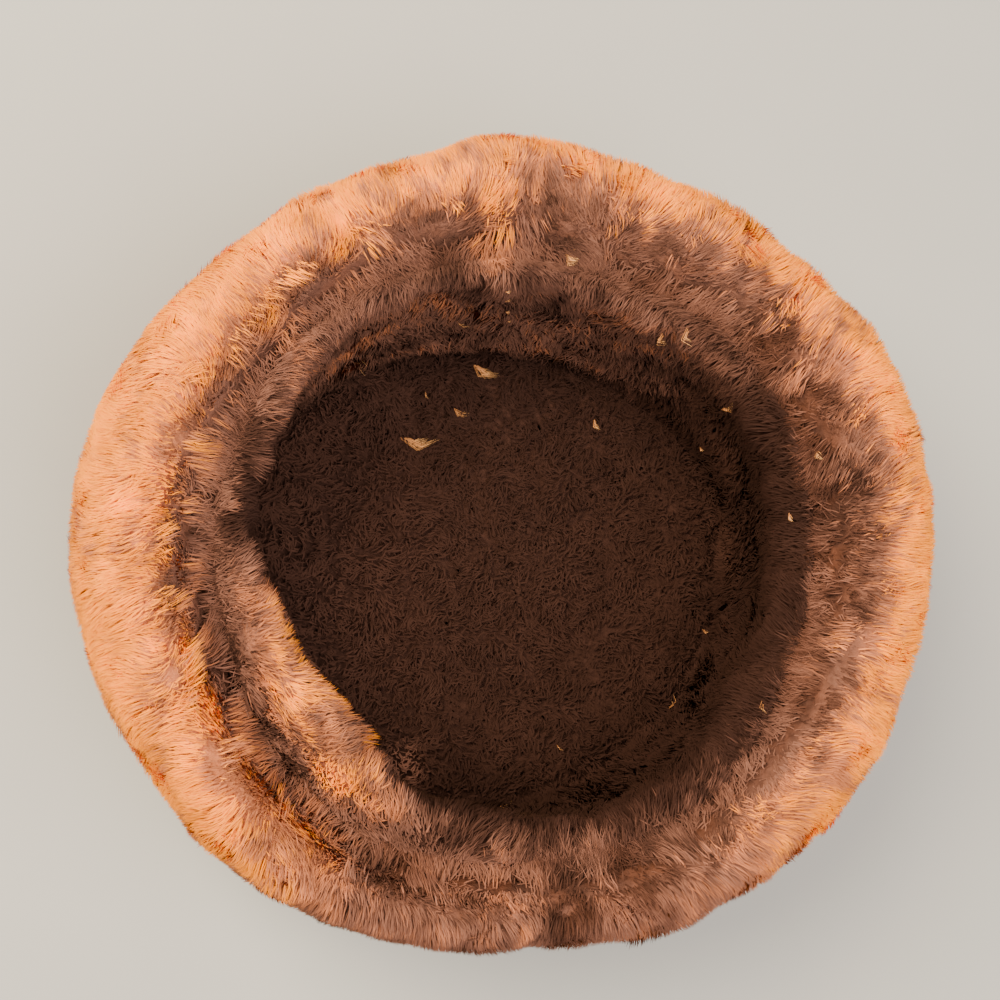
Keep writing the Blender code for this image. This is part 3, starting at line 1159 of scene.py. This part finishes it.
@dataclass(frozen=True)
class Habit:
    """What the strands of every panel have in common. Spans are of random shares."""

    bend_rise: float = 0.7
    bend_reach: float = 0.42
    lock_turn: float = 0.22
    lock_pulls: Span = (0.5, 1.2)
    lock_bend: float = 0.45
    shade_lock: float = 0.08
    shade_spread: float = 0.08
    roll: float = 0.6
    widths: Span = (0.6, 1.4)
    least_height: float = 0.5 * MM
    loose_share: float = 0.33
    hidden_near: float = 0.5
    hidden_facing: float = -0.3
    # painted shade in pits
    pit_shade: float = 0.25
    pit_depth: float = 3.0 * MM
    pit_push: float = 4.0 * MM
    pit_bend: float = 0.4
    tuft_height: float = 2.0 * MM
    shell_meets: Span = (2.5, 1.5)  # millimetres between two shells that are drawn together
    shell_sinking: float = 4.0
    shell_bleaching: float = 0.8
    # painted shade: the shell darker where two panels meet
    shell_seam_painted_shade: float = 0.85
    edge_streaks: float = 1.8 * MM
    edge_strands: float = 1.6 * MM
    streaks: tuple[float, float, float] = (0.08, 0.07, 0.06)  # broad, fine and strand by strand
    streaks_from: Span = (0.05, 0.3)
    # painted shade: strands darker where two panels meet in the crease
    seam_painted_shade: float = 0.75


HABIT = Habit()


@dataclass
class Fleece:
    """One panel's wool: its underwool shell and its strands."""

    name: str
    neighbours: tuple[str, ...]
    seed: int
    pieces: int
    strands: int
    strand_width: float
    clump_spacing: float
    shell_depth: float
    nap: Nap
    root_depth: float = 4.0 * MM
    softness: float = 0.92  # how far the strands are shaded as one surface
    clump_pull: float = 0.3
    slot: Slot = Slot.INNER_WOOL
    finish: WoolFinish = INNER_FINISH
    heading: float = -1.0  # 1 where strands lead away from the seam outwards, -1 inwards
    seam_reach: float = 5.0 * MM
    waves: ClassVar[tuple[float, ...]] = (48.0 * MM, 15.0 * MM, 30.0 * MM, 9.0 * MM)

    def __post_init__(self) -> None:
        """Seeds the panel's own random numbers."""
        self.chance = np.random.default_rng(self.seed)
        fields = (WaveField(self.chance, length) for length in self.waves)
        self.broad, self.fine, self.tone, self.streak = fields
        self.node, self.skin = self.name + "_wool", self.name + "_suede"

    def weight(self, centres: np.ndarray) -> np.ndarray:
        """How dense the strands are at each place."""
        return np.ones(len(centres))

    def lie(self, roots: Roots) -> Lie:
        """How the strands at these roots lie."""
        raise NotImplementedError

    def lay(self, roots: Roots, turn: np.ndarray, more: object = 0.0, curled: object = 1.0) -> Lie:
        """Lays strands by the panel's nap.

        Args:
            roots: their roots.
            turn: how far each is turned from onward.
            more: where they reach further, from 0 to 1.
            curled: what their curl is multiplied by.

        Returns:
            How they lie.
        """
        nap, near, count = self.nap, roots.near, len(roots.place)
        fine = self.fine.at(roots.place)
        reach = nap.reach + nap.reach_more * more + nap.reach_seam * near
        seam = nap.proud_seam + nap.proud_open * BLEACHING_AND_PAINTED_LIGHT.open_crease(roots.azimuth)
        proud = nap.proud + nap.proud_waves * fine + seam * near
        return Lie(
            reach=reach * MM * (1.0 + nap.reach_waves * fine),
            turn=turn,
            proud=(proud + self.chance.normal(0.0, nap.proud_spread, count)) * MM,
            curl=self.chance.normal(0.0, nap.curl, count) * MM * curled,
            # darker near the seam: painted shade in the crease
            shade=MIDDLE_SHADE + nap.shade_waves * self.tone.at(roots.place) - nap.shade_seam * near,
            bleach=self.bleach(roots),
        )

    def build(self, effects: Effects) -> None:
        """Makes the panel's shell and strands and dresses them.

        Args:
            effects: the shared node groups.
        """
        skin = tree_of(self.skin)
        self.beside = [tree_of(node) for node in self.neighbours]
        mesh = Rounding().of(self.node, self.beside)
        face = read_face(mesh)
        shown = 1.0 - backing(skin, face.points, face.normals)
        across, gap = nearest_of(self.beside, face.points)
        meeting = rise(HABIT.shell_meets, gap)[:, None]
        sinking = unit(face.normals + HABIT.shell_sinking * meeting * free_way(face.points))
        shell = face.points + meeting * (across - face.points)
        shell -= sinking * shown[:, None] * self.shell_depth
        mesh.vertices.foreach_set("co", shell.ravel())
        mesh.update()
        spots = Roots(face.points, face.normals, 0.0 * gap)
        bleached = HABIT.shell_bleaching * BLEACHING_AND_PAINTED_LIGHT.at(spots.azimuth, spots.radius, spots.height)
        # darker at the seam: painted shade in the crease
        bleached *= 1.0 - HABIT.shell_seam_painted_shade * self.nearness(face.points)
        same = np.ones(len(shell))
        write_strand_data(mesh, UNDERWOOL_ALONG * same, MIDDLE_SHADE * same, bleached)
        piece = add_piece(self.name + "_underwool", mesh, self.finish.underwool(effects))
        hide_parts(self.node)
        grown = self.grow(face, skin)
        material = self.finish.strands(effects)
        for k in range(self.pieces):
            name = f"{self.name}_strands_{k + 1}" if self.pieces > 1 else f"{self.name}_strands"
            add_piece(name, grown.part(k, self.pieces).mesh(name), material)

    def bleach(self, roots: Roots) -> np.ndarray:
        """How bleached the strands are, with ragged edges between dark and gold, streaks, and painted
        shade in the crease where two panels meet.
        """
        waves = self.tone.at(roots.place), self.streak.at(roots.place)
        parts = (*waves, self.chance.normal(0.0, 1.0, len(roots.place)))
        ragged = HABIT.edge_streaks * parts[1] + HABIT.edge_strands * parts[2]
        found = BLEACHING_AND_PAINTED_LIGHT.at(roots.azimuth, roots.radius + ragged, roots.height + ragged)
        streaks = sum(share * part for share, part in zip(HABIT.streaks, parts))
        streaked = found + smoothstep(*HABIT.streaks_from, found) * streaks
        # painted shade in the crease
        return np.minimum(streaked, 1.0 - HABIT.seam_painted_shade * np.sqrt(roots.near))

    def loose(self, count: int) -> np.ndarray:
        """Turns for strands of which some lie any way at all."""
        turns = self.chance.uniform(-math.pi, math.pi, count)
        return turns * (self.chance.random(count) < HABIT.loose_share)

    def nearness(self, places: np.ndarray) -> np.ndarray:
        """1 where a place meets another panel, falling to 0 within about a lock's length."""
        return np.exp(-((nearest_of(self.beside, places)[1] / self.seam_reach) ** 2))

    def plant(self, face: Face, count: int, weights: np.ndarray) -> Roots:
        """Roots at random places of the face.

        Args:
            face: the wool's smooth face.
            count: how many roots.
            weights: how dense they are on each triangle.

        Returns:
            The roots.
        """
        places, normals = face.scatter(self.chance, count, weights)
        return Roots(places, normals, self.nearness(places))

    def ends(self, roots: Roots, lie: Lie) -> tuple[np.ndarray, np.ndarray, np.ndarray]:
        """The roots, bends and tips of strands that lie alone.

        Args:
            roots: their roots on the face.
            lie: how they lie.

        Returns:
            The three ends, one strand a row.
        """
        onward = roots.onward * self.heading
        heading = onward * np.cos(lie.turn)[:, None] + roots.around * np.sin(lie.turn)[:, None]
        across = np.cross(heading, roots.normal)
        root = roots.place - roots.normal * self.root_depth
        up = (self.root_depth + lie.proud)[:, None] * roots.normal
        sweep = lie.reach[:, None] * heading
        bend = root + HABIT.bend_rise * up + HABIT.bend_reach * sweep + lie.curl[:, None] * across
        return root, bend, root + up + sweep

    def part_at_spots(self, roots: Roots, lie: Lie) -> np.ndarray:
        """Lifts or sinks the strands round the photo's spots, with painted shade in the pits and paler
        strands in the tufts.

        Args:
            roots: the strands' roots.
            lie: how they lie, which is changed.

        Returns:
            How far each tip is pushed out of a pit.
        """
        wool = [tree_of(node) for node in WOOL_NODES]
        push = np.zeros_like(roots.place)
        for spot in SPOTS:
            away = roots.place - seen_at((spot.x, spot.y), wool)
            share = np.exp(-((np.linalg.norm(away, axis=1) / (spot.spread * MM)) ** 2))
            pit, tuft = max(0.0, spot.dark) * share, max(0.0, -spot.dark) * share
            # pits: darker, painted shade; tufts: paler
            lie.bleach = lie.bleach * (1.0 - pit) + tuft
            lie.shade = lie.shade - HABIT.pit_shade * pit
            lie.proud = lie.proud - HABIT.pit_depth * pit + HABIT.tuft_height * tuft
            flat = away - (away * roots.normal).sum(axis=1, keepdims=True) * roots.normal
            push += HABIT.pit_push * pit[:, None] * unit(flat)
        return push

    def lock_of(self, heads: Roots, roots: Roots) -> np.ndarray:
        """Which lock each strand belongs to.

        Args:
            heads: the locks' middles.
            roots: the strands' roots.

        Returns:
            The number of each strand's nearest lock.
        """
        tree = KDTree(len(heads.place))
        for k, place in enumerate(heads.place.tolist()):
            tree.insert(place, k)
        tree.balance()
        return np.array([tree.find(place)[1] for place in roots.place.tolist()])

    def grow(self, face: Face, skin: BVHTree) -> Strands:
        """Grows the strands, drawn together into locks.

        Args:
            face: the wool's smooth face.
            skin: the skin behind it.

        Returns:
            The strands.
        """
        centres, normals = face.centres(), face.normals[face.triangles].mean(axis=1)
        turned = (normals * free_way(centres)).sum(axis=1)
        hidden = (self.nearness(centres) > HABIT.hidden_near) & (turned < HABIT.hidden_facing)
        shown = (backing(skin, centres, normals) < 0.5) & ~hidden
        weights = np.where(shown, self.weight(centres), 0.0)
        roots = self.plant(face, self.strands, weights)
        area = float((face.areas() * (weights > 0.0)).sum())
        locks = int(area / self.clump_spacing**2)
        heads = self.plant(face, locks, shown * 1.0)
        head_lie = self.lie(heads)
        head_lie.turn = head_lie.turn + self.chance.normal(0.0, HABIT.lock_turn, locks)
        _, head_bend, head_tip = self.ends(heads, head_lie)
        tone = self.chance.normal(0.0, 1.0, locks)
        nearest = self.lock_of(heads, roots)
        lie = self.lie(roots)
        parted = self.part_at_spots(roots, lie)
        root, bend, tip = self.ends(roots, lie)
        bend, tip = bend + HABIT.pit_bend * parted, tip + parted
        count = len(root)
        pull = self.clump_pull * self.chance.uniform(*HABIT.lock_pulls, (count, 1))
        tip = tip + pull * (head_tip[nearest] - tip)
        bend = bend + HABIT.lock_bend * pull * (head_bend[nearest] - bend)
        for points in (root, bend, tip):
            points[:, 2] = np.maximum(points[:, 2], HABIT.least_height)
        run = unit(tip - bend)
        side = unit(np.cross(run, roots.normal))
        lift = unit(np.cross(side, run))
        roll = self.chance.normal(0.0, HABIT.roll, (count, 1))
        side = side * np.cos(roll) + lift * np.sin(roll)
        facing = unit(np.cross(side, run))
        facing *= np.sign((facing * roots.normal).sum(axis=1, keepdims=True))
        alone = self.chance.normal(0.0, HABIT.shade_spread, count)
        shade = lie.shade + HABIT.shade_lock * tone[nearest] + alone
        return Strands(
            root=root,
            bend=bend,
            tip=tip,
            side=side,
            width=self.strand_width * self.chance.uniform(*HABIT.widths, count),
            shade=np.clip(shade, 0.0, 1.0),
            bleach=np.clip(lie.bleach, 0.0, 1.0),
            normal=unit(self.softness * roots.normal + (1.0 - self.softness) * facing),
        )


@dataclass
class CuffFleece(Fleece):
    """The cuff's wool, combed outwards from the crease and down the hat's side.

    Each bulge holds an azimuth and a spread in degrees and a height in millimetres.
    """

    heading: float = 1.0
    bulges: tuple[tuple[float, float, float], ...] = ((287.0, 9.0, 3.2), (45.0, 8.0, 2.0))
    bulge_radii: Span = (95.0, 110.0)
    foot_weight: float = 0.28
    roll_heights: Span = (35.0, 72.0)
    seam_weight: float = 0.8
    long_heights: Span = (8.0, 45.0)
    crossing_power: float = 0.6
    crossing_waves: float = 0.3
    crossing_draws: Span = (0.15, 0.85)

    def weight(self, centres: np.ndarray) -> np.ndarray:
        """Dense on the roll and densest at the crease, thinner low on the side."""
        more = (1.0 - self.foot_weight) * rise(self.roll_heights, centres[:, 2])
        return (self.foot_weight + more) * (1.0 + self.seam_weight * self.nearness(centres))

    def lie(self, roots: Roots) -> Lie:
        """Long and smooth, with soft swirls, some across the crease; shorter towards the foot."""
        nap, near, count = self.nap, roots.near, len(roots.place)
        broad, fine = self.broad.at(roots.place), self.fine.at(roots.place)
        draws = self.chance.uniform(*self.crossing_draws, count)
        crossing = near**self.crossing_power + self.crossing_waves * fine > draws
        ruffled = (nap.turn_spread + nap.turn_seam * near) * self.chance.normal(0.0, 1.0, count)
        turn = nap.turn_broad * broad + nap.turn_fine * fine + ruffled + math.pi * crossing
        lie = self.lay(roots, turn, more=rise(self.long_heights, roots.height))
        lie.proud = lie.proud + self.bulge(roots)
        return lie

    def bulge(self, roots: Roots) -> np.ndarray:
        """How much further the strands stand out where the photo's outline swells."""
        bulge = np.zeros(len(roots.place))
        for azimuth, spread, height in self.bulges:
            away = (roots.azimuth - azimuth + 180.0) % 360.0 - 180.0
            bulge += height * MM * np.exp(-((away / spread) ** 2))
        return bulge * rise(self.bulge_radii, roots.radius)


@dataclass
class BandFleece(Fleece):
    """The side band's wool: combed inwards over the lip, curled and matted down the wall."""

    seam_weight: float = 0.8
    lip_heights: Span = (55.0, 82.0)
    lip_calm: float = 0.75
    curl_calm: float = 0.4

    def weight(self, centres: np.ndarray) -> np.ndarray:
        """Densest at the crease."""
        return 1.0 + self.seam_weight * self.nearness(centres)

    def lie(self, roots: Roots) -> Lie:
        """Combed on the lip and soft and tousled below it."""
        nap, count = self.nap, len(roots.place)
        lip = rise(self.lip_heights, roots.height)
        mess = 1.0 - self.lip_calm * lip
        broad, fine = self.broad.at(roots.place), self.fine.at(roots.place)
        tousled = nap.turn_broad * broad + nap.turn_fine * fine + self.loose(count)
        turn = mess * tousled + self.chance.normal(0.0, nap.turn_spread, count)
        return self.lay(roots, turn, more=lip, curled=self.curl_calm + mess)


@dataclass
class CrownFleece(Fleece):
    """The crown's wool: matted curls on the floor of the hollow, with painted light on one side."""

    # painted light on the floor's left side, under the lip's shadow
    faded: float = 0.1
    painted_light_across: Span = (20.0, -60.0)

    def bleach(self, roots: Roots) -> np.ndarray:
        """Painted light: a little paler towards the photo's left, where the lip casts its shadow."""
        return self.faded * rise(self.painted_light_across, roots.place[:, 0])

    def lie(self, roots: Roots) -> Lie:
        """Tousled all over."""
        nap, count = self.nap, len(roots.place)
        broad, fine = self.broad.at(roots.place), self.fine.at(roots.place)
        tousled = nap.turn_broad * broad + nap.turn_fine * fine + self.loose(count)
        return self.lay(roots, tousled + self.chance.normal(0.0, nap.turn_spread, count))


@dataclass
class Skins:
    """The three suede skins, which stay as packed."""

    nodes: tuple[str, ...] = ("crown_suede", "band_suede", "cuff_suede")
    finish: SuedeFinish = field(default_factory=SuedeFinish)

    def dress(self, effects: Effects) -> None:
        """Gives each skin the suede finish.

        Args:
            effects: the shared node groups.
        """
        material = self.finish.material(effects)
        for name in self.nodes:
            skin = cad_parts[name]
            for slot in skin.material_slots:
                slot.material = material
            LOG.info("%s dressed", name)


@dataclass(frozen=True)
class Wisp:
    """Loose hairs that lie on the wool from one pixel of the photo to another."""

    start: tuple[float, float]
    end: tuple[float, float]
    hairs: int
    spread: float


@dataclass
class StrayHairs:
    """The loose pale hairs and tufts on top of the wool."""

    name: str = "stray_hairs"
    slot: Slot = Slot.INNER_WOOL
    finish: WoolFinish = STRAY_FINISH
    seed: int = 51
    width: float = 0.16 * MM
    lift: float = 0.9 * MM
    lengths: Span = (0.45, 1.0)
    starts: Span = (0.0, 0.25)
    lifts: Span = (0.2, 1.2)
    widths: Span = (0.6, 1.2)
    shades: Span = (0.3, 0.7)
    root_spread: float = 0.2
    bend_spread: float = 0.6
    tip_spread: float = 0.55
    bow: float = 0.22
    tip_lift: float = 0.4
    wisps: tuple[Wisp, ...] = tuple(
        Wisp(*row)
        for row in (
            ((400.0, 438.0), (440.0, 440.0), 34, 0.8), ((474.0, 365.0), (500.0, 377.0), 30, 0.8),
            ((454.0, 409.0), (472.0, 416.0), 14, 0.5), ((565.0, 254.0), (579.0, 262.0), 40, 1.0),
            ((594.0, 419.0), (601.0, 431.0), 12, 0.5), ((662.0, 333.0), (668.0, 347.0), 7, 0.4),
            ((687.0, 326.0), (694.0, 347.0), 6, 0.3), ((721.0, 410.0), (733.0, 402.0), 6, 0.3),
            ((700.0, 447.0), (704.0, 451.0), 5, 0.2), ((815.0, 450.0), (824.0, 461.0), 14, 0.5),
            ((789.0, 513.0), (794.0, 523.0), 8, 0.4), ((425.0, 391.0), (430.0, 401.0), 3, 0.1),
            ((371.0, 350.0), (366.0, 381.0), 3, 0.2), ((456.0, 321.0), (472.0, 327.0), 4, 0.2),
            ((702.0, 629.0), (713.0, 632.0), 3, 0.1), ((505.0, 292.0), (512.0, 290.0), 4, 0.2),
            ((505.0, 302.0), (511.0, 300.0), 4, 0.2), ((506.0, 312.0), (511.0, 311.0), 4, 0.2),
            ((507.0, 322.0), (511.0, 321.0), 3, 0.2), ((762.0, 700.0), (768.0, 722.0), 3, 0.3),
            ((668.0, 712.0), (674.0, 690.0), 2, 0.2), ((556.0, 744.0), (566.0, 752.0), 3, 0.2),
            ((500.0, 806.0), (512.0, 800.0), 5, 0.4),
        )
    )

    def lay(self, wisp: Wisp, wool: list[BVHTree], chance: np.random.Generator) -> tuple[np.ndarray, ...]:
        """Lays one wisp's hairs on the wool.

        Args:
            wisp: the wisp.
            wool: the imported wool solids.
            chance: the source of random numbers.

        Returns:
            Their roots, bends, tips and the way up, one hair a row.
        """
        start, end = seen_at(wisp.start, wool), seen_at(wisp.end, wool)
        up, run = unit(np.array(PhotoCamera().eye()) - start), end - start
        side = unit(np.cross(run, up))
        column = (wisp.hairs, 1)
        aside = chance.normal(0.0, wisp.spread * MM, column) * side
        length = chance.uniform(*self.lengths, column)
        root = start + chance.uniform(*self.starts, column) * run + self.root_spread * aside
        tip = start + length * run + self.tip_spread * aside
        lift = self.lift * chance.uniform(*self.lifts, column)
        bow = self.bend_spread * aside + self.bow * length * np.linalg.norm(run) * side
        bend = 0.5 * (root + tip) + lift * up + bow
        return root, bend, tip + self.tip_lift * lift * up, np.tile(up, column)

    def build(self, effects: Effects) -> None:
        """Makes the hairs.

        Args:
            effects: the shared node groups.
        """
        chance = np.random.default_rng(self.seed)
        wool = [tree_of(node) for node in WOOL_NODES]
        laid = [self.lay(wisp, wool, chance) for wisp in self.wisps]
        root, bend, tip, up = (np.concatenate(column) for column in zip(*laid))
        count = len(root)
        hairs = Strands(
            root=root,
            bend=bend,
            tip=tip,
            side=unit(np.cross(tip - root, up)),
            width=self.width * chance.uniform(*self.widths, count),
            shade=chance.uniform(*self.shades, count),
            bleach=np.zeros(count),
            normal=up,
        )
        add_piece(self.name, hairs.mesh(self.name), self.finish.strands(effects))


def panels() -> list[Fleece]:
    """The hat's three panels of wool."""
    return [
        CuffFleece(
            name="cuff",
            neighbours=("band_wool",),
            slot=Slot.OUTER_WOOL,
            finish=OUTER_FINISH,
            seed=11,
            pieces=3,
            strands=190_000,
            root_depth=4.5 * MM,
            strand_width=0.42 * MM,
            softness=0.86,
            clump_spacing=3.6 * MM,
            clump_pull=0.2,
            shell_depth=2.2 * MM,
            nap=Nap(
                reach=3.0,
                reach_more=3.0,
                reach_seam=1.5,
                reach_waves=0.1,
                turn_broad=0.35,
                turn_fine=0.2,
                turn_spread=0.11,
                turn_seam=0.45,
                proud=0.4,
                proud_waves=0.3,
                proud_spread=0.25,
                proud_seam=1.5,
                proud_open=1.3,
                curl=0.35,
                shade_waves=0.07,
                shade_seam=0.12,
            ),
        ),
        BandFleece(
            name="band",
            neighbours=("cuff_wool", "crown_wool"),
            seed=23,
            pieces=2,
            strands=96_000,
            strand_width=0.52 * MM,
            clump_spacing=4.5 * MM,
            shell_depth=1.8 * MM,
            nap=Nap(
                reach=3.5,
                reach_more=2.5,
                turn_broad=1.2,
                turn_fine=0.7,
                turn_spread=0.25,
                proud=0.3,
                proud_seam=1.2,
                proud_open=1.3,
                shade_seam=0.1,
            ),
        ),
        CrownFleece(
            name="crown",
            neighbours=("band_wool",),
            seed=37,
            pieces=1,
            strands=30_000,
            strand_width=0.68 * MM,
            clump_spacing=5.0 * MM,
            shell_depth=2.4 * MM,
            nap=Nap(
                reach=4.4,
                turn_broad=2.2,
                turn_fine=1.0,
                turn_spread=0.4,
                proud=0.5,
                proud_spread=0.35,
                curl=0.7,
            ),
        ),
    ]


def main() -> None:
    """Builds the studio and the hat, and reports their sizes."""
    logging.basicConfig(level=logging.INFO, format="%(name)s: %(message)s")
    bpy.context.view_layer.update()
    PhotoCamera().place()
    effects = Effects()
    Studio().build(effects)
    Skins().dress(effects)
    for panel in panels():
        panel.build(effects)
    StrayHairs().build(effects)


if __name__ == "__main__":
    main()
